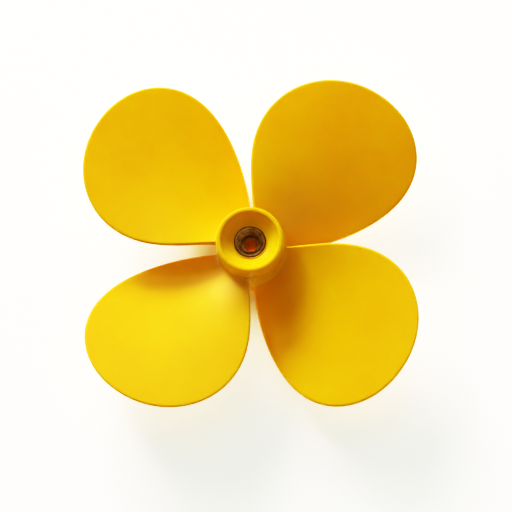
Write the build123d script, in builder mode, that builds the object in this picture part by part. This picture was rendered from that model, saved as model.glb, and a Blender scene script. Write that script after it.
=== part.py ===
# Four-blade pedal boat propeller with a cushioned drive core.
# Shaft axis on +Z, dished front face up, origin on the axis at the rear face of the hub.
# All sizes are in millimetres.
import os
from math import atan2, cos, degrees, exp, hypot, radians, sin

from build123d import *

os.makedirs("parts", exist_ok=True)

# Propeller
blade_count = 4
propeller_radius = 150.0
first_blade_angle = 45.0

# Blade surface
pitch_far_out = 108.0
pitch_root_loss = 400.0
root_mid_height = 22.5
tip_rise = 17.0
edge_fall = 7.0
edge_fall_angle = 40.0
tip_thickness = 2.7
root_extra_thickness = 6.0
thickness_fade = 30.0
edge_thinning_width = 95.0
edge_rounding = 0.8

# Blade outline, half-angles in degrees either side of the blade's centre line
nose_half_angle = 55.0
nose_root_narrowing = 0.37
tail_half_angle = 38.8
tail_tip_widening = 7.5
tail_root_widening = 8.0

# Hub
hub_outer_radius = 25.4
hub_tube_outer = 15.0
hub_tube_bore = 11.85
hub_tube_top = 41.0
rear_flange_top = 7.0
feet_top = 38.0
rib_half_width = 1.5
rib_top = 37.8
rear_pocket_radius = 14.2
rear_pocket_depth = 6.5
ring_groove_radius = 15.2
ring_groove_low = 1.4
ring_groove_high = 3.0

# Blade feet
foot_inner_radius = 15.3
foot_slot_half_width = 1.65
foot_clearance_radius = 26.6
plate_start_radius = 25.35

# Front cap
cap_base_radius = 26.0
cap_rim_radius = 25.1
rim_top = 52.0
dish_edge_radius = 21.6
dish_edge_height = 50.9
dish_floor_radius = 13.1
dish_floor_height = 44.2
lip_inner_radius = 12.1
lip_outer_radius = 12.9
lip_top = 45.0

# Clamping screws
screw_circle_radius = 20.2
screw_radius = 2.0
screw_hole_radius = 2.25
screw_head_radius = 3.5
screw_head_low = 0.8
screw_head_height = 3.2
screw_tip_height = 42.5
screw_socket_flats = 3.0
washer_radius = 3.7
washer_thickness = 0.8
screw_pocket_radius = 3.9
insert_radius = 2.9
insert_top = 43.5
insert_play = 0.02

# Drive core
core_radius = 9.0
core_neck_radius = 8.0
core_neck_base = 31.0
core_top = 35.5
core_flange_radius = 13.6
core_flange_low = 3.1
core_flange_high = 5.6
core_boss_radius = 10.5
pilot_radius = 6.0
pilot_depth = 10.0
hex_flats = 9.6

# Brass thread insert
brass_face = 44.5
brass_flange_radius = 10.75
brass_flange_low = 41.5
brass_skirt_inner = 8.04
brass_floor_low = 35.6
brass_floor_top = 37.0
thread_radius = 7.2
thread_mouth_radius = 9.4
thread_mouth_depth = 1.6
hex_opening_flats = 9.8
hex_opening_bevel = 0.35

# Rubber cushion, thrust washer and retaining ring
cushion_radius = 11.8
cushion_low = 7.0
cushion_top = 44.2
thrust_washer_inner = 9.4
thrust_washer_outer = 14.0
retaining_ring_inner = 12.4
retaining_ring_outer = 15.0


def save(builder, label):
    """Name a finished piece and write it to its STEP file."""
    builder.part.label = label
    export_step(builder.part, f"parts/{label}.step")


def hexagon_radius(flats):
    """Corner radius of a hexagon from its width across flats."""
    return flats / 2 / cos(radians(30))


# ---------------------------------------------------------------- blades


def blade_height(x, y):
    """Height of the blade's middle surface: a crowned helix about the shaft, rising to the tip."""
    radius = hypot(x, y)
    angle = degrees(atan2(y, x))
    outward = (radius - hub_outer_radius) / (propeller_radius - hub_outer_radius)
    pitch = pitch_far_out - pitch_root_loss / radius
    fall = edge_fall * outward * (angle / edge_fall_angle) ** 2
    return root_mid_height + tip_rise * outward + pitch * angle / 360 - fall


def blade_thickness(x, y):
    """Thickness along the shaft, thick at the root and thin at the tip and edges."""
    along = tip_thickness + root_extra_thickness * exp((hub_outer_radius - hypot(x, y)) / thickness_fade)
    return along * (1 - 0.5 * (y / edge_thinning_width) ** 2)


def section_points(station, side):
    """Seven points across the blade's front (+1) or rear (-1) surface at one station."""
    reach = min(76.0, 10.0 + 1.15 * station)
    points = []
    for step in range(7):
        y = reach * (-0.86 + 1.86 * step / 6)
        points.append((y, blade_height(station, y) + side * blade_thickness(station, y) / 2))
    return points


def outline_point(turn, side):
    """Point on the blade's outline; turn runs from 0 at the shaft to 90 at the tip."""
    share = sin(radians(turn))
    if side > 0:
        half_angle = nose_half_angle * (1 - nose_root_narrowing * (1 - share) ** 3)
    else:
        half_angle = tail_half_angle + tail_tip_widening * share**4 + tail_root_widening * (1 - share) ** 3
    angle = radians(side * half_angle * cos(radians(turn)))
    return (propeller_radius * share * cos(angle), propeller_radius * share * sin(angle))


outline_turns = [9, 15, 23, 32, 42, 53, 64, 74, 83]
nose_points = [outline_point(turn, 1) for turn in outline_turns]
tail_points = [outline_point(turn, -1) for turn in reversed(outline_turns)]

with BuildPart() as blade_pattern:
    # twisted plate, lofted from the shaft to beyond the tip
    for station in [15, 28, 45, 70, 98, 126, 156]:
        across = Plane(origin=(station, 0, 0), x_dir=(0, 1, 0), z_dir=(1, 0, 0))
        with BuildSketch(across):
            with BuildLine():
                front_curve = Spline(*section_points(station, 1))
                rear_curve = Spline(*section_points(station, -1))
                Line(front_curve @ 0, rear_curve @ 0)
                Line(front_curve @ 1, rear_curve @ 1)
            make_face()
    loft()
    # trimmed to the outline seen along the shaft
    with BuildSketch(Plane.XY.offset(-20)):
        with BuildLine():
            rounded_edge = Spline(*nose_points, (propeller_radius, 0), *tail_points)
            Polyline(rounded_edge @ 1, (17.0, -6.0), (17.0, 6.0), rounded_edge @ 0)
        make_face()
    extrude(amount=110, mode=Mode.INTERSECT)
    # rounded rim all the way round
    long_edges = blade_pattern.edges().sort_by(SortBy.LENGTH)[-2:]
    fillet(long_edges, radius=edge_rounding)
    # room for the hub, the front cap's skirt and the rear flange
    with BuildSketch(Plane.XY):
        Circle(plate_start_radius)
    extrude(amount=60, mode=Mode.SUBTRACT)
    with BuildSketch(Plane.XY.offset(feet_top)):
        Circle(foot_clearance_radius)
    extrude(amount=30, mode=Mode.SUBTRACT)
    with BuildSketch(Plane.XY.offset(rear_flange_top)):
        Circle(foot_clearance_radius)
    extrude(amount=-30, mode=Mode.SUBTRACT)
    # foot: one quarter of the hub's wall
    with BuildSketch(Plane.XY.offset(rear_flange_top)):
        Circle(hub_outer_radius)
        apex = foot_slot_half_width * 2**0.5
        with BuildLine():
            Polyline((apex, 0), (apex + 60, 60), (apex + 60, -60), close=True)
        make_face(mode=Mode.INTERSECT)
    extrude(amount=feet_top - rear_flange_top)
    with BuildSketch(Plane.XY.offset(rear_flange_top)):
        Circle(foot_inner_radius)
    extrude(amount=feet_top - rear_flange_top, mode=Mode.SUBTRACT)
    # screw hole through the foot
    with BuildSketch(Plane.XY.offset(rear_flange_top)):
        with Locations((screw_circle_radius, 0)):
            Circle(screw_hole_radius)
    extrude(amount=feet_top - rear_flange_top, mode=Mode.SUBTRACT)

for number in range(blade_count):
    with BuildPart() as blade:
        with Locations(Rotation(0, 0, first_blade_angle + number * 360 / blade_count)):
            add(blade_pattern.part)
    save(blade, f"blade_{number + 1}")


# ------------------------------------------------------------------- hub

with BuildPart() as rear_hub:
    # flange and tube
    with BuildSketch(Plane.XY):
        Circle(hub_outer_radius)
    extrude(amount=rear_flange_top)
    chamfer(rear_hub.edges().group_by(Axis.Z)[0], length=1.0)
    with BuildSketch(Plane.XY.offset(rear_flange_top)):
        Circle(hub_tube_outer)
    extrude(amount=hub_tube_top - rear_flange_top)
    # ribs that carry the torque to the blade feet
    with BuildSketch(Plane.XY.offset(rear_flange_top)):
        with PolarLocations(0, blade_count):
            with Locations(((hub_outer_radius + 14.0) / 2, 0)):
                Rectangle(hub_outer_radius - 14.2, 2 * rib_half_width)
    extrude(amount=rib_top - rear_flange_top)
    # bore for the cushion, pocket for the core's flange, groove for the ring
    with BuildSketch(Plane.XY):
        Circle(hub_tube_bore)
    extrude(amount=hub_tube_top, mode=Mode.SUBTRACT)
    with BuildSketch(Plane.XY):
        Circle(rear_pocket_radius)
    extrude(amount=rear_pocket_depth, mode=Mode.SUBTRACT)
    with BuildSketch(Plane.XY.offset(ring_groove_low)):
        Circle(ring_groove_radius)
    extrude(amount=ring_groove_high - ring_groove_low, mode=Mode.SUBTRACT)
    # screw holes with pockets for head and washer
    with BuildSketch(Plane.XY):
        with PolarLocations(screw_circle_radius, blade_count, start_angle=first_blade_angle):
            Circle(screw_hole_radius)
    extrude(amount=rear_flange_top, mode=Mode.SUBTRACT)
    with BuildSketch(Plane.XY):
        with PolarLocations(screw_circle_radius, blade_count, start_angle=first_blade_angle):
            Circle(screw_pocket_radius)
    extrude(amount=screw_head_low + screw_head_height + washer_thickness, mode=Mode.SUBTRACT)

save(rear_hub, "rear_hub")

with BuildPart() as front_cap:
    # turned shape: skirt, round rim, dished face and the lip round the core
    with BuildSketch(Plane.XZ):
        with BuildLine():
            wall = Line((cap_base_radius, feet_top), (cap_rim_radius, 49.6))
            rim = ThreePointArc(wall @ 1, (23.7, rim_top), (dish_edge_radius, dish_edge_height))
            dish = ThreePointArc(rim @ 1, (17.4, 46.9), (dish_floor_radius, dish_floor_height))
            lip = Polyline(
                dish @ 1,
                (lip_outer_radius, lip_top),
                (lip_inner_radius, lip_top),
                (lip_inner_radius, hub_tube_top + 0.05),
                (hub_tube_outer + 0.1, hub_tube_top + 0.05),
                (hub_tube_outer + 0.1, feet_top),
            )
            Line(lip @ 1, wall @ 0)
        make_face()
    revolve(axis=Axis.Z)
    # seats for the threaded inserts
    with BuildSketch(Plane.XY.offset(feet_top)):
        with PolarLocations(screw_circle_radius, blade_count, start_angle=first_blade_angle):
            Circle(insert_radius)
    extrude(amount=insert_top - feet_top, mode=Mode.SUBTRACT)

save(front_cap, "front_cap")


# ------------------------------------------------------------- fasteners

with BuildPart() as screw_inserts:
    with BuildSketch(Plane.XY.offset(feet_top + 0.2)):
        with PolarLocations(screw_circle_radius, blade_count, start_angle=first_blade_angle):
            Circle(insert_radius - insert_play)
            Circle(screw_radius + insert_play, mode=Mode.SUBTRACT)
    extrude(amount=insert_top - feet_top - 0.4)

save(screw_inserts, "screw_inserts")

with BuildPart() as clamp_screws:
    # heads
    with BuildSketch(Plane.XY.offset(screw_head_low)):
        with PolarLocations(screw_circle_radius, blade_count, start_angle=first_blade_angle):
            Circle(screw_head_radius)
    extrude(amount=screw_head_height)
    chamfer(clamp_screws.edges().group_by(Axis.Z)[0], length=0.4)
    # shanks
    with BuildSketch(Plane.XY.offset(screw_head_low + screw_head_height)):
        with PolarLocations(screw_circle_radius, blade_count, start_angle=first_blade_angle):
            Circle(screw_radius)
    extrude(amount=screw_tip_height - screw_head_low - screw_head_height)
    # hexagon sockets
    with BuildSketch(Plane.XY.offset(screw_head_low)):
        with PolarLocations(screw_circle_radius, blade_count, start_angle=first_blade_angle):
            RegularPolygon(hexagon_radius(screw_socket_flats), 6)
    extrude(amount=2.0, mode=Mode.SUBTRACT)

save(clamp_screws, "clamp_screws")

with BuildPart() as screw_washers:
    with BuildSketch(Plane.XY.offset(screw_head_low + screw_head_height)):
        with PolarLocations(screw_circle_radius, blade_count, start_angle=first_blade_angle):
            Circle(washer_radius)
            Circle(screw_hole_radius, mode=Mode.SUBTRACT)
    extrude(amount=washer_thickness)

save(screw_washers, "screw_washers")


# ------------------------------------------------------------ drive core

with BuildPart() as drive_core:
    with BuildSketch(Plane.XZ):
        with BuildLine():
            Polyline(
                (0, 0),
                (core_boss_radius, 0),
                (core_boss_radius, core_flange_low),
                (core_flange_radius, core_flange_low),
                (core_flange_radius, core_flange_high),
                (core_radius, core_flange_high),
                (core_radius, core_neck_base - 0.1),
                (core_neck_radius, core_neck_base - 0.1),
                (core_neck_radius, core_top),
                (0, core_top),
                close=True,
            )
        make_face()
    revolve(axis=Axis.Z)
    # round pilot bore for the shaft, then the hexagon that drives
    with BuildSketch(Plane.XY):
        RegularPolygon(hexagon_radius(hex_flats), 6)
    extrude(amount=core_top, mode=Mode.SUBTRACT)
    with BuildSketch(Plane.XY):
        Circle(pilot_radius)
    extrude(amount=pilot_depth, mode=Mode.SUBTRACT)

save(drive_core, "drive_core")

with BuildPart() as thread_insert:
    with BuildSketch(Plane.XZ):
        with BuildLine():
            Polyline(
                (thread_mouth_radius, brass_face),
                (brass_flange_radius - 0.4, brass_face),
                (brass_flange_radius, brass_face - 0.4),
                (brass_flange_radius, brass_flange_low),
                (core_radius, brass_flange_low),
                (core_radius, core_neck_base),
                (brass_skirt_inner, core_neck_base),
                (brass_skirt_inner, brass_floor_low),
                (0, brass_floor_low),
                (0, brass_floor_top),
                (thread_radius, brass_floor_top),
                (thread_radius, brass_face - thread_mouth_depth),
                close=True,
            )
        make_face()
    revolve(axis=Axis.Z)
    # hexagon window over the core's socket, with a bevelled edge
    with BuildSketch(Plane.XY.offset(brass_floor_low)):
        RegularPolygon(hexagon_radius(hex_opening_flats), 6)
    extrude(amount=brass_floor_top - brass_floor_low, mode=Mode.SUBTRACT)
    window_edges = thread_insert.edges().filter_by(GeomType.LINE).filter_by_position(
        Axis.Z, brass_floor_top - 0.01, brass_floor_top + 0.01
    )
    chamfer(window_edges, length=hex_opening_bevel)

save(thread_insert, "thread_insert")

with BuildPart() as cushion_bush:
    with BuildSketch(Plane.XZ):
        with BuildLine():
            Polyline(
                (core_radius + 0.05, cushion_low),
                (cushion_radius, cushion_low),
                (cushion_radius, cushion_top),
                (brass_flange_radius + 0.05, cushion_top),
                (brass_flange_radius + 0.05, brass_flange_low - 0.05),
                (core_radius + 0.05, brass_flange_low - 0.05),
                close=True,
            )
        make_face()
    revolve(axis=Axis.Z)

save(cushion_bush, "cushion_bush")

with BuildPart() as thrust_washer:
    with BuildSketch(Plane.XY.offset(core_flange_high + 0.1)):
        Circle(thrust_washer_outer)
        Circle(thrust_washer_inner, mode=Mode.SUBTRACT)
    extrude(amount=rear_pocket_depth - core_flange_high - 0.1)

save(thrust_washer, "thrust_washer")

with BuildPart() as retaining_ring:
    with BuildSketch(Plane.XY.offset(ring_groove_low + 0.05)):
        Circle(retaining_ring_outer)
        Circle(retaining_ring_inner, mode=Mode.SUBTRACT)
        # gap for closing the ring
        with Locations((0, -retaining_ring_outer)):
            Rectangle(5.0, 8.0, mode=Mode.SUBTRACT)
    extrude(amount=ring_groove_high - ring_groove_low - 0.1)

save(retaining_ring, "retaining_ring")
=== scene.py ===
"""Pedal boat propeller: moulded blades and cap, a brass thread insert and a pale studio round them."""

from __future__ import annotations

import logging
import math
from dataclasses import dataclass
from enum import Enum

import bpy
import numpy as np
from mathutils import Matrix, Vector


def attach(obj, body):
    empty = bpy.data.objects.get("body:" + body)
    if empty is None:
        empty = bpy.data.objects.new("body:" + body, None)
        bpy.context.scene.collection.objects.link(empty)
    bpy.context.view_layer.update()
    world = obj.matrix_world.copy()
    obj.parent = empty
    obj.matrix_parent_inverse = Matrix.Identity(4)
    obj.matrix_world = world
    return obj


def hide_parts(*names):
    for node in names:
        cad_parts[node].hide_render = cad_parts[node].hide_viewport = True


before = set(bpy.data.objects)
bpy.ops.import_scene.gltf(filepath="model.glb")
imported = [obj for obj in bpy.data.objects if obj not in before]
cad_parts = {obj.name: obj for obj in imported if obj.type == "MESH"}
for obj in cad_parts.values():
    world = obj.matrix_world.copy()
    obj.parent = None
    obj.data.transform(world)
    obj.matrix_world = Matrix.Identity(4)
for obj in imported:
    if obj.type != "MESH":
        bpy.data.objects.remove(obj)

MM = 0.001
WELD = 2e-6
LOG = logging.getLogger("propeller")


class Body(str, Enum):
    """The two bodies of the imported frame."""

    DRIVE = "drive"
    PROPELLER = "propeller"


class Slot(str, Enum):
    """The record's material slots that new pieces use."""

    YELLOW = "yellow_plastic"
    BRASS = "brass"


# ------------------------------------------------------------------ helpers


def srgb(code: str, alpha: float = 1.0) -> tuple[float, float, float, float]:
    """Turn an sRGB hex colour into the linear colour that a shader needs.

    Args:
        code: six hex digits, such as "f2c200".
        alpha: the fourth value.

    Returns:
        Linear red, green, blue and alpha.
    """
    values = []
    for start in (0, 2, 4):
        value = int(code[start : start + 2], 16) / 255
        values.append(value / 12.92 if value <= 0.04045 else ((value + 0.055) / 1.055) ** 2.4)
    return (values[0], values[1], values[2], alpha)


def add_node(
    material: bpy.types.Material | bpy.types.World,
    kind: str,
    settings: dict[str, object] | None = None,
    values: dict[str | int, object] | None = None,
    links: dict[str | int, bpy.types.NodeSocket] | None = None,
) -> bpy.types.Node:
    """Add one node with its settings, socket values and incoming links.

    Args:
        material: the material or world that holds the tree.
        kind: the node's type name.
        settings: attributes of the node.
        values: input socket values, by socket name or number.
        links: output sockets that feed inputs, by input name or number.

    Returns:
        The new node.
    """
    tree = material.node_tree
    node = tree.nodes.new(kind)
    for name, value in (settings or {}).items():
        setattr(node, name, value)
    for name, value in (values or {}).items():
        node.inputs[name].default_value = value
    for name, socket in (links or {}).items():
        tree.links.new(socket, node.inputs[name])
    return node


def new_material(name: str) -> tuple[bpy.types.Material, bpy.types.NodeSocket]:
    """Make a material with an empty tree and the socket that says where on the piece a point is.

    Args:
        name: the material's name.

    Returns:
        The material and its object coordinates.
    """
    material = bpy.data.materials.new(name)
    material.use_nodes = True
    material.node_tree.nodes.clear()
    return material, add_node(material, "ShaderNodeTexCoord").outputs["Object"]


def add_noise(
    material: bpy.types.Material,
    place: bpy.types.NodeSocket,
    size_mm: float,
    detail: float,
    roughness: float = 0.5,
) -> bpy.types.NodeSocket:
    """Add a noise pattern of a real size.

    Args:
        material: the material that holds the tree.
        place: the coordinates that it follows.
        size_mm: the size of its largest patches, in millimetres.
        detail: how many finer layers it has.
        roughness: how strong the finer layers are.

    Returns:
        The pattern's value, from 0 to 1.
    """
    noise = add_node(
        material,
        "ShaderNodeTexNoise",
        values={"Scale": 1 / (size_mm * MM), "Detail": detail, "Roughness": roughness},
        links={"Vector": place},
    )
    return noise.outputs["Fac"]


def add_bump(
    material: bpy.types.Material, height: bpy.types.NodeSocket, depth_mm: float, strength: float
) -> bpy.types.NodeSocket:
    """Turn a pattern into a fine relief.

    Args:
        material: the material that holds the tree.
        height: the pattern.
        depth_mm: how deep the relief is, in millimetres.
        strength: how much of it shows.

    Returns:
        The bent normal.
    """
    bump = add_node(
        material,
        "ShaderNodeBump",
        values={"Strength": strength, "Distance": depth_mm * MM},
        links={"Height": height},
    )
    return bump.outputs["Normal"]


def add_range(
    material: bpy.types.Material, value: bpy.types.NodeSocket, low: float, high: float
) -> bpy.types.NodeSocket:
    """Spread a pattern from 0 to 1 over another range.

    Args:
        material: the material that holds the tree.
        value: the pattern.
        low: what 0 becomes.
        high: what 1 becomes.

    Returns:
        The new value.
    """
    spread = add_node(
        material, "ShaderNodeMapRange", values={"To Min": low, "To Max": high}, links={"Value": value}
    )
    return spread.outputs["Result"]


def add_surface(
    material: bpy.types.Material, values: dict[str, object], links: dict[str, bpy.types.NodeSocket]
) -> None:
    """Add the shader and the output that end a material.

    Args:
        material: the material that holds the tree.
        values: constant values of the shader.
        links: the sockets that feed it.
    """
    shader = add_node(material, "ShaderNodeBsdfPrincipled", values=values, links=links)
    add_node(material, "ShaderNodeOutputMaterial", links={"Surface": shader.outputs["BSDF"]})


def add_ramp(
    material: bpy.types.Material, factor: bpy.types.NodeSocket, stops: list[tuple[float, tuple[float, ...]]]
) -> bpy.types.NodeSocket:
    """Add a colour ramp with the given stops.

    Args:
        material: the material that holds the tree.
        factor: the socket that drives the ramp.
        stops: pairs of place and colour.

    Returns:
        The ramp's colour.
    """
    ramp = add_node(material, "ShaderNodeValToRGB", links={"Fac": factor})
    elements = ramp.color_ramp.elements
    while len(elements) < len(stops):
        elements.new(0.5)
    for element, (place, colour) in zip(elements, stops):
        element.position = place
        element.color = colour
    return ramp.outputs["Color"]


def deselect_all() -> None:
    """Leave object mode clean: nothing selected and nothing active."""
    if bpy.context.object is not None and bpy.context.object.mode != "OBJECT":
        bpy.ops.object.mode_set(mode="OBJECT")
    bpy.ops.object.select_all(action="DESELECT")


def make_active(piece: bpy.types.Object) -> None:
    """Select one object alone and make it active."""
    deselect_all()
    piece.select_set(True)
    bpy.context.view_layer.objects.active = piece


def apply_modifier(piece: bpy.types.Object, kind: str, **settings: object) -> None:
    """Add a modifier, set it and apply it.

    Args:
        piece: the object to change.
        kind: the modifier's type.
        settings: the modifier's attributes.
    """
    make_active(piece)
    modifier = piece.modifiers.new(kind.lower(), kind)
    for name, value in settings.items():
        setattr(modifier, name, value)
    bpy.ops.object.modifier_apply(modifier=modifier.name)


def combine(piece: bpy.types.Object, tool: bpy.types.Object, operation: str) -> None:
    """Join, cut or intersect a piece with a tool body, and remove the tool.

    Args:
        piece: the object that stays.
        tool: the object that is used up.
        operation: UNION, DIFFERENCE or INTERSECT.
    """
    apply_modifier(piece, "BOOLEAN", object=tool, operation=operation, solver="MANIFOLD")
    bpy.data.objects.remove(tool, do_unlink=True)


def settle(piece: bpy.types.Object) -> None:
    """Move a piece's place, turn and scale into its mesh, so the object sits at the origin."""
    make_active(piece)
    bpy.ops.object.transform_apply(location=True, rotation=True, scale=True)


def clean_faces(piece: bpy.types.Object, distance: float = 1e-6) -> None:
    """Merge doubles and turn every face outwards.

    Args:
        piece: the object to clean.
        distance: the merging distance in metres.
    """
    make_active(piece)
    bpy.ops.object.mode_set(mode="EDIT")
    bpy.ops.mesh.select_all(action="SELECT")
    bpy.ops.mesh.remove_doubles(threshold=distance)
    bpy.ops.mesh.normals_make_consistent(inside=False)
    bpy.ops.object.mode_set(mode="OBJECT")


def smooth(piece: bpy.types.Object, angle: float = 35.0) -> None:
    """Shade smooth, with edges sharper than the angle kept crisp.

    Args:
        piece: the object to shade.
        angle: the largest smooth angle, in degrees.
    """
    make_active(piece)
    bpy.ops.object.shade_smooth_by_angle(angle=math.radians(angle))


def dress(piece: bpy.types.Object, material: bpy.types.Material) -> None:
    """Give a piece one material, in every slot it has."""
    if not piece.data.materials:
        piece.data.materials.append(material)
    for index in range(len(piece.data.materials)):
        piece.data.materials[index] = material


def finish_piece(
    piece: bpy.types.Object, material: bpy.types.Material, body: Body, replaced: list[str]
) -> None:
    """Dress a finished piece and tie it to the frame.

    Args:
        piece: the new object.
        material: its finish.
        body: the body it moves with.
        replaced: the CAD nodes it stands for.
    """
    dress(piece, material)
    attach(piece, body.value)
    if replaced:
        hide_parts(*replaced)
    LOG.info("%s: %d faces, stands for %s", piece.name, len(piece.data.polygons), replaced or "nothing")


def turned_body(name: str, profile: list[tuple[float, float]], steps: int = 96) -> bpy.types.Object:
    """Turn a closed outline about the shaft axis, as on a lathe.

    Args:
        name: the new object's name.
        profile: radius and height pairs in millimetres, in order round the outline.
        steps: how many steps the full turn takes.

    Returns:
        The turned object.
    """
    deselect_all()
    first = Vector((profile[0][0] * MM, 0.0, profile[0][1] * MM))
    bpy.ops.mesh.primitive_plane_add(size=MM, location=first)
    piece = bpy.context.object
    piece.name = name
    settle(piece)
    bpy.ops.object.mode_set(mode="EDIT")
    bpy.ops.mesh.select_all(action="SELECT")
    bpy.ops.mesh.merge(type="CENTER")
    place = first
    for radius, height in [*profile[1:], profile[0]]:
        target = Vector((radius * MM, 0.0, height * MM))
        bpy.ops.mesh.extrude_region_move(TRANSFORM_OT_translate={"value": target - place})
        place = target
    bpy.ops.mesh.select_all(action="SELECT")
    bpy.ops.mesh.spin(steps=steps, angle=math.tau, center=(0, 0, 0), axis=(0, 0, 1))
    bpy.ops.object.mode_set(mode="OBJECT")
    clean_faces(piece)
    return piece


def arc_points(
    centre: tuple[float, float], radius: float, start: float, end: float, count: int
) -> list[tuple[float, float]]:
    """Points along an arc in the radius and height plane.

    Args:
        centre: the arc's centre, in millimetres.
        radius: its radius.
        start: the first angle, in degrees.
        end: the last angle, in degrees.
        count: how many points.

    Returns:
        The points in order.
    """
    points = []
    for step in range(count):
        angle = math.radians(start + (end - start) * step / (count - 1))
        points.append((centre[0] + radius * math.cos(angle), centre[1] + radius * math.sin(angle)))
    return points


# ----------------------------------------------------------------- finishes


@dataclass(frozen=True)
class MouldedNylon:
    """Polyamide, injection moulded in a lightly sparked tool and dyed yellow all through.

    It gives a warm satin gloss, a slight depth of colour and shadows that glow orange,
    because red travels furthest inside it.
    """

    colour: str = "eebd00"
    deep_colour: str = "e9b300"
    scuff_colour: str = "f4d658"
    roughness: float = 0.36
    scuff_dulling: float = 0.2
    rim_wear: float = 0.22
    cloud_mm: float = 45.0
    scratch_mm: float = 9.0
    scratch_stretch: float = 9.0
    sheen_mm: float = 14.0
    grain_mm: float = 0.9
    grain_depth_mm: float = 0.04
    glow_depth_mm: float = 7.0
    name: str = "nylon_moulded_yellow"

    def scuffs(self, material: bpy.types.Material, place: bpy.types.NodeSocket) -> bpy.types.NodeSocket:
        """Draw the handling scuffs: thin pale scratches, densest on the rims of the blades.

        Args:
            material: the material that holds the tree.
            place: the object coordinates.

        Returns:
            How scuffed each point is.
        """
        stretch = add_node(
            material,
            "ShaderNodeMapping",
            values={"Rotation": (0.3, 0.2, 0.7), "Scale": (1.0, self.scratch_stretch, 1.0)},
            links={"Vector": place},
        )
        scratches = add_noise(material, stretch.outputs["Vector"], self.scratch_mm, 4.0, 0.7)
        rim = add_node(material, "ShaderNodeAttribute", settings={"attribute_name": "rim"})
        worn = add_node(
            material,
            "ShaderNodeMath",
            settings={"operation": "MULTIPLY_ADD"},
            values={1: self.rim_wear},
            links={0: rim.outputs["Fac"], 2: scratches},
        )
        stops = [(0.66, (0.0, 0.0, 0.0, 1.0)), (0.86, (0.55, 0.55, 0.55, 1.0))]
        return add_ramp(material, worn.outputs["Value"], stops)

    def build(self) -> bpy.types.Material:
        """Build the material.

        Returns:
            The finished material.
        """
        material, place = new_material(self.name)
        # slow clouds: the dye is never quite even
        clouds = add_noise(material, place, self.cloud_mm, 3.0)
        tint = add_ramp(material, clouds, [(0.3, srgb(self.deep_colour)), (0.7, srgb(self.colour))])
        scuffs = self.scuffs(material, place)
        colour = add_node(
            material,
            "ShaderNodeMix",
            settings={"data_type": "RGBA"},
            values={"B": srgb(self.scuff_colour)},
            links={"Factor": scuffs, "A": tint},
        )
        # gloss: a little uneven, duller on the scuffs
        sheen = add_noise(material, place, self.sheen_mm, 4.0)
        gloss = add_range(material, sheen, self.roughness - 0.05, self.roughness + 0.07)
        dulled = add_node(
            material,
            "ShaderNodeMath",
            settings={"operation": "MULTIPLY_ADD"},
            values={1: self.scuff_dulling},
            links={0: scuffs, 2: gloss},
        )
        # spark-eroded tool texture, drawn coarser than its real 0.3 mm so that it shows
        grain = add_noise(material, place, self.grain_mm, 2.0, 0.6)
        add_surface(
            material,
            values={
                "IOR": 1.53,
                "Specular IOR Level": 0.42,
                "Subsurface Weight": 0.35,
                "Subsurface Radius": (1.0, 0.28, 0.03),
                "Subsurface Scale": self.glow_depth_mm * MM,
            },
            links={
                "Base Color": colour.outputs["Result"],
                "Roughness": dulled.outputs["Value"],
                "Normal": add_bump(material, grain, self.grain_depth_mm, 0.25),
            },
        )
        return material


@dataclass(frozen=True)
class TurnedMetal:
    """A metal turned on a lathe: fine rings round the shaft axis and a thin, uneven tarnish."""

    name: str
    colour: str
    tarnish: str
    roughness: float
    ring_mm: float = 0.5
    ring_depth_mm: float = 0.02
    tarnish_mm: float = 4.0

    def build(self) -> bpy.types.Material:
        """Build the material.

        Returns:
            The finished material.
        """
        material, place = new_material(self.name)
        stains = add_noise(material, place, self.tarnish_mm, 5.0, 0.65)
        # the wave pattern repeats about every 0.31 of its unit scale
        rings = add_node(
            material,
            "ShaderNodeTexWave",
            settings={"wave_type": "RINGS", "rings_direction": "Z"},
            values={
                "Scale": 0.31 / (self.ring_mm * MM),
                "Distortion": 0.6,
                "Detail": 2.0,
                "Detail Scale": 2.0,
            },
            links={"Vector": place},
        )
        stops = [(0.38, srgb(self.tarnish)), (0.62, srgb(self.colour))]
        add_surface(
            material,
            values={"Metallic": 1.0},
            links={
                "Base Color": add_ramp(material, stains, stops),
                "Roughness": add_range(material, stains, self.roughness + 0.12, self.roughness - 0.04),
                "Normal": add_bump(material, rings.outputs["Fac"], self.ring_depth_mm, 0.3),
            },
        )
        return material


@dataclass(frozen=True)
class DullPolymer:
    """A matt polymer: moulded rubber or natural bearing plastic, with a fine cloudy surface."""

    name: str
    colour: str
    worn: str
    roughness: float
    ior: float
    speck_mm: float = 1.2
    speck_depth_mm: float = 0.03

    def build(self) -> bpy.types.Material:
        """Build the material.

        Returns:
            The finished material.
        """
        material, place = new_material(self.name)
        specks = add_noise(material, place, self.speck_mm, 5.0, 0.6)
        stops = [(0.35, srgb(self.colour)), (0.75, srgb(self.worn))]
        add_surface(
            material,
            values={"IOR": self.ior},
            links={
                "Base Color": add_ramp(material, specks, stops),
                "Roughness": add_range(material, specks, self.roughness - 0.06, self.roughness + 0.08),
                "Normal": add_bump(material, specks, self.speck_depth_mm, 0.3),
            },
        )
        return material


# dull olive brass: warm, but long out of the polishing shop
BRASS = TurnedMetal("brass_turned_tarnished", colour="a99c6e", tarnish="6a5f3e", roughness=0.33)
# neutral grey with a soft gleam on the screws' heads
STEEL = TurnedMetal("stainless_steel_turned", colour="c3c4c6", tarnish="a2a3a5", roughness=0.3)
# almost black, so the joint reads as a dark line
RUBBER = DullPolymer("nitrile_rubber_moulded", colour="171615", worn="262422", roughness=0.62, ior=1.52)
# milky white, with a waxy softness
ACETAL = DullPolymer("acetal_natural_turned", colour="e6e3da", worn="d6d2c6", roughness=0.45, ior=1.48)


# ------------------------------------------------------------------- blades


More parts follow.
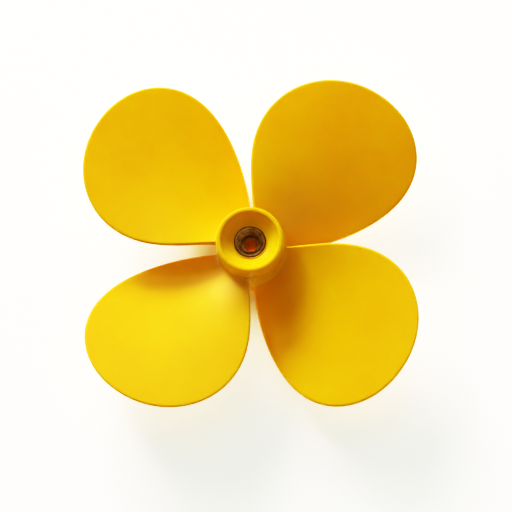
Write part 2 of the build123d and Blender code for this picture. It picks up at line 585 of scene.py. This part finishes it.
@dataclass
class BladeSet:
    """Twisted blades, each with the foot that the hub clamps. Sizes are in millimetres and degrees."""

    count: int = 4
    first_angle: float = 45.0
    radius: float = 150.0
    hub_radius: float = 25.4
    pitch: float = 108.0
    pitch_loss: float = 400.0
    root_height: float = 22.5
    tip_rise: float = 17.0
    edge_fall: float = 7.0
    edge_fall_angle: float = 40.0
    tip_thickness: float = 2.7
    root_thickness: float = 6.0
    thickness_fade: float = 30.0
    nose_angle: float = 55.0
    nose_narrowing: float = 0.37
    tail_angle: float = 38.8
    tail_widening: float = 7.5
    tail_root_widening: float = 8.0
    edge_thinning: float = 0.5
    edge_thinning_width: float = 95.0
    edge_round: float = 1.5
    root_round: float = 3.6
    wear_width: float = 3.0
    foot_low: float = 7.0
    foot_high: float = 38.0
    foot_inner: float = 15.3
    foot_margin_low: float = 0.25
    foot_margin_high: float = 0.2
    merge_start: float = 1.6
    merge_width: float = 0.8
    slot_half: float = 1.65
    screw_circle: float = 20.2
    screw_hole: float = 2.25
    screw_reach: float = 80.0
    columns: int = 61

    def half_angles(self, share: np.ndarray) -> tuple[np.ndarray, np.ndarray]:
        """Outline angles of the nose and tail edges.

        Args:
            share: distance from the axis as a share of the blade's radius.

        Returns:
            The nose angle and the (negative) tail angle, in degrees.
        """
        taper = np.sqrt(np.clip(1 - share**2, 0, None))
        root = (1 - share) ** 3
        nose = self.nose_angle * (1 - self.nose_narrowing * root)
        tail = self.tail_angle + self.tail_widening * share**4 + self.tail_root_widening * root
        return nose * taper, -tail * taper

    def middle_height(self, radius: np.ndarray, angle: np.ndarray) -> np.ndarray:
        """Height of the middle surface.

        Args:
            radius: distance from the axis, in millimetres.
            angle: angle from the blade's centre line, in degrees.

        Returns:
            The height in millimetres.
        """
        outward = (radius - self.hub_radius) / (self.radius - self.hub_radius)
        pitch = self.pitch - self.pitch_loss / radius
        fall = self.edge_fall * outward * (angle / self.edge_fall_angle) ** 2
        return self.root_height + self.tip_rise * outward + pitch * angle / 360 - fall

    def rows(self) -> np.ndarray:
        """Distances from the axis at which the plate is drawn, closer together at root and tip.

        Returns:
            The distances in millimetres, from the foot to the tip.
        """
        root = self.hub_radius + np.array([-0.8, 0.0, 0.12, 0.4, 0.8, 1.3, 1.9, 2.6, 3.6, 4.8])
        start = math.asin(root[-1] / self.radius)
        end = math.asin(1 - 2.4 / self.radius)
        span = self.radius * np.sin(np.linspace(start, end, 56))[1:-1]
        tip = self.radius - np.array([2.4, 1.5, 0.9, 0.5, 0.25, 0.1, 0.03, 0.0])
        return np.concatenate([root, span, tip])

    def angles(self, radii: np.ndarray) -> np.ndarray:
        """Angles at which each row's points lie, closer together near the edges.

        Args:
            radii: the rows' distances from the axis, in millimetres.

        Returns:
            Angles from the blade's centre line in degrees, rows by columns.
        """
        nose, tail = self.half_angles(radii / self.radius)
        half = (nose - tail) / 2
        middle = (nose + tail) / 2
        edge = np.array([0.0, 0.04, 0.16, 0.38, 0.75, 1.25, 1.9, 2.8])
        inner = self.columns - 2 * len(edge)
        angles = np.zeros((len(radii), self.columns))
        for row, width in enumerate(np.radians(half) * radii):
            near = np.minimum(edge / max(width, 1e-9), edge / edge[-1] * 0.3)
            between = np.linspace(-1 + near[-1], 1 - near[-1], inner + 2)[1:-1]
            across = np.concatenate([-1 + near, between, (1 - near)[::-1]])
            angles[row] = middle[row] + across * half[row]
        return angles

    def half_thickness(self, radius: np.ndarray, y: np.ndarray, rim: np.ndarray) -> np.ndarray:
        """Half the plate's thickness: thickest at the root, round at the rim, flared into the hub.

        Args:
            radius: distance from the axis, in millimetres.
            y: distance from the blade's centre line.
            rim: distance from the outline.

        Returns:
            Half the thickness in millimetres.
        """
        fade = np.exp((self.hub_radius - radius) / self.thickness_fade)
        thickness = self.tip_thickness + self.root_thickness * fade
        thickness *= 1 - self.edge_thinning * (y / self.edge_thinning_width) ** 2
        into_hub = np.clip((self.hub_radius + self.root_round - radius) / self.root_round, 0, 1)
        flare = self.root_round * (1 - np.sqrt(1 - into_hub**2))
        inward = np.clip(rim / self.edge_round, 0, 1)
        return (thickness / 2 + flare) * np.sqrt(1 - (1 - inward) ** 2)

    def plate_points(self) -> tuple[np.ndarray, np.ndarray, np.ndarray]:
        """Points of the plate's front and rear faces.

        Returns:
            The front points, the rear points (rows by columns by 3, in metres) and the wear value of each.
        """
        radii = self.rows()
        radius = np.repeat(radii[:, None], self.columns, 1)
        angle = self.angles(radii)
        x = radius * np.cos(np.radians(angle))
        y = radius * np.sin(np.radians(angle))
        rim = self.rim_distance(x, y)
        rim[:, [0, -1]] = 0.0
        rim[-1] = 0.0
        half = self.half_thickness(radius, y, rim)
        middle = self.middle_height(radius, angle)
        # where the plate runs into the foot it stays between the foot's ends
        inside = np.clip((self.hub_radius + self.merge_start - radius) / self.merge_width, 0, 1)
        low = self.foot_low + self.foot_margin_low
        high = self.foot_high - self.foot_margin_high
        faces = []
        for sign in (1, -1):
            z = middle + sign * half
            z = z + inside * (np.clip(z, low, high) - z)
            faces.append(np.stack([x, y, z], 2) * MM)
        wear = np.clip(1 - rim / self.wear_width, 0, 1)
        return faces[0], faces[1], wear

    def rim_distance(self, x: np.ndarray, y: np.ndarray) -> np.ndarray:
        """Distance from each point to the blade's outline.

        Args:
            x: places along the blade, in millimetres.
            y: places across it.

        Returns:
            The distances in millimetres.
        """
        share = np.sin(np.linspace(math.asin(0.15), math.pi / 2, 500))
        nose, tail = self.half_angles(share)
        outline = []
        for along, edge in ((share, nose), (share[::-1], tail[::-1])):
            angle = np.radians(edge)
            outline.append(np.stack([along * np.cos(angle), along * np.sin(angle)], 1) * self.radius)
        line = np.concatenate(outline)
        start, end = line[:-1], line[1:]
        step = end - start
        length = np.maximum((step**2).sum(1), 1e-12)
        points = np.stack([x.ravel(), y.ravel()], 1)
        batch = 500
        nearest = np.zeros(len(points))
        for first in range(0, len(points), batch):
            part = points[first : first + batch, None] - start[None]
            along = np.clip((part * step).sum(2) / length, 0, 1)
            gap = part - along[..., None] * step
            nearest[first : first + batch] = np.sqrt((gap**2).sum(2)).min(1)
        return nearest.reshape(x.shape)

    def build_plate(self) -> bpy.types.Object:
        """Build one twisted plate: a grid on the blade's front, a second on its rear, welded at the rim.

        Returns:
            The closed plate.
        """
        front, rear, wear = self.plate_points()
        rows, columns = wear.shape
        sheets = []
        for name, points in (("front_face", front), ("rear_face", rear)):
            deselect_all()
            bpy.ops.mesh.primitive_grid_add(x_subdivisions=columns - 1, y_subdivisions=rows - 1, size=1.0)
            sheet = bpy.context.object
            sheet.name = name
            sheet.data.vertices.foreach_set("co", points.reshape(-1))
            mark = sheet.data.attributes.new("rim", "FLOAT", "POINT")
            mark.data.foreach_set("value", wear.reshape(-1).astype(np.float32))
            sheets.append(sheet)
        plate, back = sheets
        make_active(back)
        bpy.ops.object.mode_set(mode="EDIT")
        bpy.ops.mesh.select_all(action="SELECT")
        bpy.ops.mesh.flip_normals()
        make_active(plate)
        back.select_set(True)
        bpy.ops.object.join()
        bpy.ops.object.mode_set(mode="EDIT")
        bpy.ops.mesh.select_all(action="SELECT")
        bpy.ops.mesh.remove_doubles(threshold=WELD)
        bpy.ops.mesh.select_all(action="SELECT")
        bpy.ops.mesh.fill_holes(sides=0)
        bpy.ops.mesh.select_all(action="SELECT")
        bpy.ops.mesh.normals_make_consistent(inside=False)
        bpy.ops.object.mode_set(mode="OBJECT")
        return plate

    def build_foot(self) -> bpy.types.Object:
        """Build the foot: a quarter of the hub's wall, cut parallel to the ribs.

        Returns:
            The foot.
        """
        profile = [
            (self.foot_inner, self.foot_low),
            (self.hub_radius, self.foot_low),
            (self.hub_radius, self.foot_high),
            (self.foot_inner, self.foot_high),
        ]
        foot = turned_body("foot", profile, steps=160)
        diagonal = math.sqrt(0.5)
        apex = self.slot_half / diagonal * MM
        for side in (1, -1):
            make_active(foot)
            bpy.ops.object.mode_set(mode="EDIT")
            bpy.ops.mesh.select_all(action="SELECT")
            bpy.ops.mesh.bisect(
                plane_co=(apex, 0, 0),
                plane_no=(-diagonal, side * diagonal, 0),
                use_fill=True,
                clear_outer=True,
            )
            bpy.ops.object.mode_set(mode="OBJECT")
        clean_faces(foot)
        return foot

    def build(self, material: bpy.types.Material) -> None:
        """Build the first blade and copy it round the hub.

        Args:
            material: the blades' finish.
        """
        pattern = self.build_foot()
        combine(pattern, self.build_plate(), "UNION")
        deselect_all()
        bpy.ops.mesh.primitive_cylinder_add(
            vertices=32,
            radius=self.screw_hole * MM,
            depth=self.screw_reach * MM,
            location=(self.screw_circle * MM, 0, self.root_height * MM),
        )
        combine(pattern, bpy.context.object, "DIFFERENCE")
        clean_faces(pattern, WELD)
        for number in range(self.count):
            name = f"blade_{number + 1}"
            blade = pattern.copy()
            blade.data = pattern.data.copy()
            blade.name = f"{name}_moulded"
            bpy.context.scene.collection.objects.link(blade)
            turn = math.radians(self.first_angle + number * 360 / self.count)
            blade.data.transform(Matrix.Rotation(turn, 4, "Z"))
            smooth(blade, 40.0)
            finish_piece(blade, material, Body.PROPELLER, [name])
        bpy.data.objects.remove(pattern, do_unlink=True)


# ---------------------------------------------------------------------- hub


@dataclass
class Hub:
    """Front cap turned anew with soft edges, and the rear half in its CAD shape. Sizes in millimetres."""

    base_radius: float = 26.0
    base_height: float = 38.0
    rim_top: float = 52.0
    lip_inner: float = 12.1
    tube_seat: float = 15.1
    tube_top: float = 41.05

    def cap_profile(self) -> list[tuple[float, float]]:
        """Outline of the cap, from the skirt's foot over the rim, down the dish and back underneath.

        Returns:
            Radius and height pairs in millimetres.
        """
        skirt = [
            (self.base_radius - 0.35, self.base_height),
            (self.base_radius - 0.08, self.base_height + 0.1),
            (self.base_radius, self.base_height + 0.4),
        ]
        wall = [(25.72, 42.5), (25.38, 46.8), (25.18, 49.2)]
        outer_round = arc_points((23.75, self.rim_top - 1.45), 1.4, 4, 88, 9)
        crown = [(23.2, self.rim_top), (22.8, self.rim_top - 0.04)]
        inner_round = arc_points((22.55, self.rim_top - 1.25), 1.2, 84, 168, 8)
        rim = [*outer_round, *crown, *inner_round]
        dish = [
            (21.15, 50.55),
            (20.6, 49.85),
            (19.9, 49.1),
            (19.0, 48.2),
            (17.9, 47.25),
            (16.6, 46.35),
            (15.2, 45.5),
            (13.9, 44.75),
            (13.0, 44.3),
            (12.8, 44.25),
        ]
        lip = [
            (12.72, 44.4),
            (12.7, 44.7),
            (12.6, 44.85),
            (12.42, 44.9),
            (12.24, 44.85),
            (self.lip_inner, 44.7),
            (self.lip_inner, self.tube_top),
        ]
        under = [(self.tube_seat, self.tube_top), (self.tube_seat, self.base_height)]
        return [*skirt, *wall, *rim, *dish, *lip, *under]

    def build(self, material: bpy.types.Material) -> None:
        """Build the front cap and dress the rear half.

        Args:
            material: the hub's finish.
        """
        cap = turned_body("front_cap_moulded", self.cap_profile(), steps=144)
        smooth(cap, 40.0)
        finish_piece(cap, material, Body.PROPELLER, ["front_cap"])
        dress(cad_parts["rear_hub"], material)


# --------------------------------------------------------------- drive core


@dataclass
class DriveCore:
    """The plastic core, the brass thread insert and the rubber round them. Sizes in millimetres."""

    rim: float = 11.25
    outer: float = 10.75
    body: float = 9.0
    face: float = 44.5
    flange_low: float = 41.5
    skirt_low: float = 31.0
    skirt_inner: float = 8.04
    floor_low: float = 35.6
    floor_top: float = 37.0
    thread_major: float = 8.0
    thread_minor: float = 7.2
    thread_pitch: float = 1.5
    thread_turns: int = 4
    ridge_half: float = 0.68
    mouth: float = 9.9
    mouth_low: float = 42.9
    lead_in_steps: int = 3
    hexagon_flats: float = 9.8
    hexagon_bevel: float = 0.45

    def insert_profile(self) -> list[tuple[float, float]]:
        """Outline of the brass insert before its hexagon is cut.

        Returns:
            Radius and height pairs in millimetres.
        """
        # the thread's lead-in widens in small steps, as the first turns of a thread do
        lead_in = []
        for step in range(self.lead_in_steps):
            radius = self.mouth - 1.45 + 0.5 * step
            height = self.mouth_low + 0.4 * (step + 1)
            lead_in += [(radius, height), (radius + 0.1, height)]
        return [
            (0.5, self.floor_top),
            (self.thread_major, self.floor_top),
            (self.thread_major, self.mouth_low),
            *lead_in,
            (self.mouth, self.face - 0.05),
            (self.mouth + 0.12, self.face),
            (self.rim - 0.3, self.face),
            (self.rim - 0.08, self.face - 0.08),
            (self.rim, self.face - 0.24),
            (self.outer, self.face - 0.26),
            (self.outer, self.flange_low),
            (self.body, self.flange_low),
            (self.body, self.skirt_low),
            (self.skirt_inner, self.skirt_low),
            (self.skirt_inner, self.floor_low),
            (0.5, self.floor_low),
        ]

    def cut_hexagon(self, insert: bpy.types.Object) -> None:
        """Cut the six-sided window and its bevel through the insert's floor.

        Args:
            insert: the brass insert.
        """
        corner = self.hexagon_flats / 2 / math.cos(math.radians(30)) * MM
        grow = self.hexagon_bevel / math.cos(math.radians(30)) * MM
        deselect_all()
        bpy.ops.mesh.primitive_cylinder_add(
            vertices=6,
            radius=corner,
            depth=12 * MM,
            location=(0, 0, self.floor_top * MM),
            rotation=(0, 0, math.pi / 6),
        )
        cutter = bpy.context.object
        settle(cutter)
        combine(insert, cutter, "DIFFERENCE")
        deselect_all()
        bpy.ops.mesh.primitive_cone_add(
            vertices=6,
            radius1=corner - grow,
            radius2=corner + grow,
            depth=2 * self.hexagon_bevel * MM,
            location=(0, 0, self.floor_top * MM),
            rotation=(0, 0, math.pi / 6),
        )
        cutter = bpy.context.object
        settle(cutter)
        combine(insert, cutter, "DIFFERENCE")

    def build_thread(self) -> bpy.types.Object:
        """Build the thread's ridge: a V that climbs the wall.

        Returns:
            The helical ridge.
        """
        deselect_all()
        bpy.ops.mesh.primitive_circle_add(vertices=3, radius=MM, location=(0, 0, 0))
        ridge = bpy.context.object
        ridge.name = "thread_ridge"
        start = self.floor_top + 0.3
        root = self.thread_major + 0.15
        corners = [
            (root, start - self.ridge_half),
            (root, start + self.ridge_half),
            (self.thread_minor, start),
        ]
        for vertex, (radius, height) in zip(ridge.data.vertices, corners):
            vertex.co = (radius * MM, 0.0, height * MM)
        make_active(ridge)
        bpy.ops.object.mode_set(mode="EDIT")
        bpy.ops.mesh.select_all(action="SELECT")
        bpy.ops.mesh.edge_face_add()
        bpy.ops.object.mode_set(mode="OBJECT")
        apply_modifier(
            ridge,
            "SCREW",
            axis="Z",
            angle=math.tau,
            screw_offset=self.thread_pitch * MM,
            iterations=self.thread_turns,
            steps=72,
            render_steps=72,
            use_merge_vertices=False,
        )
        bpy.ops.object.mode_set(mode="EDIT")
        bpy.ops.mesh.select_all(action="SELECT")
        bpy.ops.mesh.fill_holes(sides=3)
        bpy.ops.object.mode_set(mode="OBJECT")
        return ridge

    def build(
        self, plastic: bpy.types.Material, brass: bpy.types.Material, rubber: bpy.types.Material
    ) -> None:
        """Build the insert and dress the core and the cushion.

        Args:
            plastic: the core's finish.
            brass: the insert's finish.
            rubber: the cushion's finish.
        """
        insert = turned_body("thread_insert_brass", self.insert_profile(), steps=96)
        self.cut_hexagon(insert)
        ridge = self.build_thread()
        clean_faces(ridge)
        make_active(insert)
        ridge.select_set(True)
        bpy.ops.object.join()
        smooth(insert, 35.0)
        finish_piece(insert, brass, Body.DRIVE, ["thread_insert"])
        dress(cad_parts["drive_core"], plastic)
        dress(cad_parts["cushion_bush"], rubber)


@dataclass
class Fasteners:
    """Screws, washers, inserts, thrust washer and retaining ring, kept as the CAD made them."""

    steel_nodes: tuple[str, ...] = ("clamp_screws", "screw_washers", "retaining_ring")

    def build(
        self, steel: bpy.types.Material, brass: bpy.types.Material, white: bpy.types.Material
    ) -> None:
        """Dress the small parts.

        Args:
            steel: finish of screws, washers and ring.
            brass: finish of the screw inserts.
            white: finish of the thrust washer.
        """
        for name in self.steel_nodes:
            dress(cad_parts[name], steel)
        dress(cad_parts["screw_inserts"], brass)
        dress(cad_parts["thrust_washer"], white)


# ------------------------------------------------------------------- studio


@dataclass(frozen=True)
class SoftLight:
    """A soft rectangular light that points at the propeller. Lengths are in metres, angles in degrees.

    The light's strength is what it throws on a surface that faces it, where 1 makes white paper white.
    """

    name: str
    azimuth: float
    elevation: float
    distance: float
    width: float
    height: float
    strength: float
    colour: str
    reflected: bool = True

    def build(self, aim: Vector) -> None:
        """Add the light.

        Args:
            aim: the point that it faces.
        """
        azimuth = math.radians(self.azimuth)
        elevation = math.radians(self.elevation)
        flat = math.cos(elevation)
        towards = Vector((math.cos(azimuth) * flat, math.sin(azimuth) * flat, math.sin(elevation)))
        deselect_all()
        bpy.ops.object.light_add(type="AREA", location=aim + towards * self.distance)
        light = bpy.context.object
        light.name = self.name
        light.rotation_euler = (-towards).to_track_quat("-Z", "Y").to_euler()
        light.data.shape = "RECTANGLE"
        light.data.size = self.width
        light.data.size_y = self.height
        light.data.energy = self.strength * math.pi**2 * self.distance**2
        light.data.color = srgb(self.colour)[:3]
        light.visible_camera = False
        light.visible_glossy = self.reflected


@dataclass
class Studio:
    """A pale seamless table, soft lights and the camera. Lengths are in metres, angles in degrees.

    The tone curves pair a scene value, where 1 is white paper in full light, with the value shown.
    """

    table_radius: float = 10.0
    table_sweep: float = 2.5
    table_thickness: float = 0.05
    table_gap: float = 0.05 * MM
    wall_height: float = 5.0
    azimuth: float = 13.8
    elevation: float = 74.65
    roll: float = -12.8
    distance: float = 6.0
    frame_width: float = 0.381
    sensor_mm: float = 36.0
    aim: tuple[float, float, float] = (0.0, 0.0, 0.0385)
    shift_x: float = 0.0107
    shift_y: float = -0.0232
    paint: str = "f4f3f0"
    glow: float = 0.75
    far_glow: float = 0.2
    nap_mm: float = 6.0
    nap_depth_mm: float = 0.05
    far_fade: tuple[float, float] = (0.8, 3.0)
    window_fade: tuple[float, float] = (2.5, 4.5)
    # painted shadow and painted orange glow on the table round the hub: how far they reach, in metres, and
    # their glow colours along that reach
    painted_shadow_glow_reach: float = 0.1
    painted_shadow_glow: tuple[tuple[float, tuple[float, float, float, float]], ...] = (
        (0.0, (0.75, 0.25, 0.04, 1.0)),
        (0.24, (0.3, 0.08, 0.01, 1.0)),
        (0.32, (0.1, 0.04, 0.02, 1.0)),
        (0.4, (0.3, 0.25, 0.2, 1.0)),
        (0.5, (0.66, 0.63, 0.58, 1.0)),
        (0.65, (0.88, 0.87, 0.85, 1.0)),
        (0.85, (0.92, 0.92, 0.9, 1.0)),
    )
    air_colour: str = "ffeedb"
    air_strength: float = 0.1
    white: float = 2.0
    red_tone: tuple[tuple[float, float], ...] = (
        (0.1, 0.095),
        (0.25, 0.245),
        (0.45, 0.425),
        (0.64, 0.55),
        (0.86, 0.69),
        (1.03, 0.785),
        (1.3, 0.9),
        (1.6, 0.965),
    )
    green_tone: tuple[tuple[float, float], ...] = (
        (0.1, 0.045),
        (0.2, 0.115),
        (0.3, 0.215),
        (0.4, 0.33),
        (0.5, 0.45),
        (0.6, 0.56),
        (0.8, 0.715),
        (1.0, 0.83),
        (1.3, 0.92),
        (1.6, 0.97),
    )
    blue_tone: tuple[tuple[float, float], ...] = (
        (0.03, 0.004),
        (0.06, 0.015),
        (0.12, 0.045),
        (0.2, 0.1),
        (0.3, 0.18),
        (0.45, 0.34),
        (0.65, 0.56),
        (1.0, 0.82),
        (1.3, 0.92),
        (1.6, 0.97),
    )
    lights: tuple[SoftLight, ...] = (
        SoftLight(
            name="window_light",
            azimuth=112.0,
            elevation=20.0,
            distance=4.0,
            width=2.4,
            height=1.0,
            strength=1.85,
            colour="fffefc",
            reflected=False,
        ),
        SoftLight(
            name="key_light",
            azimuth=128.0,
            elevation=34.0,
            distance=2.4,
            width=0.45,
            height=0.45,
            strength=0.35,
            colour="fff0dc",
        ),
        SoftLight(
            name="gloss_light",
            azimuth=100.0,
            elevation=60.0,
            distance=3.0,
            width=2.0,
            height=1.5,
            strength=0.18,
            colour="fff4e6",
        ),
        SoftLight(
            name="fill_light",
            azimuth=-45.0,
            elevation=58.0,
            distance=0.9,
            width=0.5,
            height=0.5,
            strength=0.15,
            colour="fff0d8",
        ),
    )

    def table_paint(self) -> bpy.types.Material:
        """White emulsion laid on with a roller, lit from within so that the ground stays almost white.

        Returns:
            The finished material.
        """
        material, place = new_material("emulsion_rolled_white")
        distance = add_node(
            material, "ShaderNodeVectorMath", settings={"operation": "LENGTH"}, links={"Vector": place}
        )
        far = add_node(
            material,
            "ShaderNodeMapRange",
            values={
                "From Min": self.far_fade[0],
                "From Max": self.far_fade[1],
                "To Min": self.glow,
                "To Max": self.far_glow,
            },
            links={"Value": distance.outputs["Value"]},
        )
        # on the window's side the wall beyond the light glows as well
        parts = add_node(material, "ShaderNodeSeparateXYZ", links={"Vector": place})
        window_side = add_node(
            material,
            "ShaderNodeMapRange",
            values={
                "From Min": self.window_fade[0],
                "From Max": self.window_fade[1],
                "To Max": self.glow,
            },
            links={"Value": parts.outputs["Y"]},
        )
        strength = add_node(
            material,
            "ShaderNodeMath",
            settings={"operation": "MAXIMUM"},
            links={0: far.outputs["Result"], 1: window_side.outputs["Result"]},
        )
        # near the hub the table's glow is painted dark and orange: a painted shadow round the hub, and a
        # painted orange glow under it that shows through the bore
        near = add_node(
            material,
            "ShaderNodeMapRange",
            values={"From Max": self.painted_shadow_glow_reach},
            links={"Value": distance.outputs["Value"]},
        )
        nap = add_noise(material, place, self.nap_mm, 3.0)
        add_surface(
            material,
            values={"Base Color": srgb(self.paint), "Roughness": 0.8},
            links={
                "Normal": add_bump(material, nap, self.nap_depth_mm, 0.1),
                "Emission Color": add_ramp(material, near.outputs["Result"], list(self.painted_shadow_glow)),
                "Emission Strength": strength.outputs["Value"],
            },
        )
        return material

    def build_table(self) -> None:
        """Build the table: a wide disc that curves up into a wall all round."""
        top = -self.table_gap / MM
        bottom = -self.table_thickness / MM
        edge = self.table_radius / MM
        sweep = self.table_sweep / MM
        wall = self.wall_height / MM
        outside = edge - bottom
        curve = arc_points((edge - sweep, sweep + top), sweep, -90, 0, 16)
        outline = [(1.0, top), *curve, (edge, wall), (outside, wall), (outside, bottom), (1.0, bottom)]
        table = turned_body("studio_table", outline, steps=96)
        smooth(table, 60.0)
        dress(table, self.table_paint())

    def build_lights(self) -> None:
        """Add the soft lights and the dim air round them."""
        for light in self.lights:
            light.build(Vector(self.aim))
        world = bpy.data.worlds.new("studio_air")
        bpy.context.scene.world = world
        world.use_nodes = True
        world.node_tree.nodes.clear()
        back = add_node(
            world,
            "ShaderNodeBackground",
            values={"Color": srgb(self.air_colour), "Strength": self.air_strength},
        )
        add_node(world, "ShaderNodeOutputWorld", links={"Surface": back.outputs["Background"]})

    def build_camera(self) -> None:
        """Place the camera on its long lens."""
        azimuth = math.radians(self.azimuth)
        elevation = math.radians(self.elevation)
        roll = math.radians(self.roll)
        flat = math.cos(elevation)
        towards = Vector((math.sin(azimuth) * flat, -math.cos(azimuth) * flat, math.sin(elevation)))
        right = Vector((math.cos(azimuth), math.sin(azimuth), 0.0))
        up = towards.cross(right)
        side = right * math.cos(roll) + up * math.sin(roll)
        top = up * math.cos(roll) - right * math.sin(roll)
        matrix = Matrix((side, top, towards)).transposed().to_4x4()
        matrix.translation = Vector(self.aim) + towards * self.distance
        deselect_all()
        bpy.ops.object.camera_add()
        camera = bpy.context.object
        camera.name = "studio_camera"
        camera.matrix_world = matrix
        camera.data.sensor_width = self.sensor_mm
        camera.data.lens = self.sensor_mm * self.distance / self.frame_width
        camera.data.shift_x = self.shift_x
        camera.data.shift_y = self.shift_y
        camera.data.clip_end = 100.0
        camera.data.dof.use_dof = False
        bpy.context.scene.camera = camera

    def set_tone(self) -> None:
        """Set the tone curve: a short toe and a long shoulder, as on slide film."""
        view = bpy.context.scene.view_settings
        view.view_transform = "Standard"
        view.use_curve_mapping = True
        mapping = view.curve_mapping
        mapping.white_level = (self.white, self.white, self.white)
        mapping.use_clip = False
        for curve, points in zip(mapping.curves, (self.red_tone, self.green_tone, self.blue_tone)):
            for place, value in points:
                curve.points.new(place / self.white, value)
        mapping.update()

    def build(self) -> None:
        """Build table, lights and camera."""
        self.set_tone()
        self.build_table()
        self.build_lights()
        self.build_camera()


def main() -> None:
    """Build every sub-assembly in order."""
    logging.basicConfig(level=logging.INFO, format="%(name)s %(message)s")
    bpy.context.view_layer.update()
    nylon = MouldedNylon().build()
    brass = BRASS.build()
    steel = STEEL.build()
    rubber = RUBBER.build()
    white = ACETAL.build()
    BladeSet().build(nylon)
    Hub().build(nylon)
    DriveCore().build(nylon, brass, rubber)
    Fasteners().build(steel, brass, white)
    Studio().build()


if __name__ == "__main__":
    main()
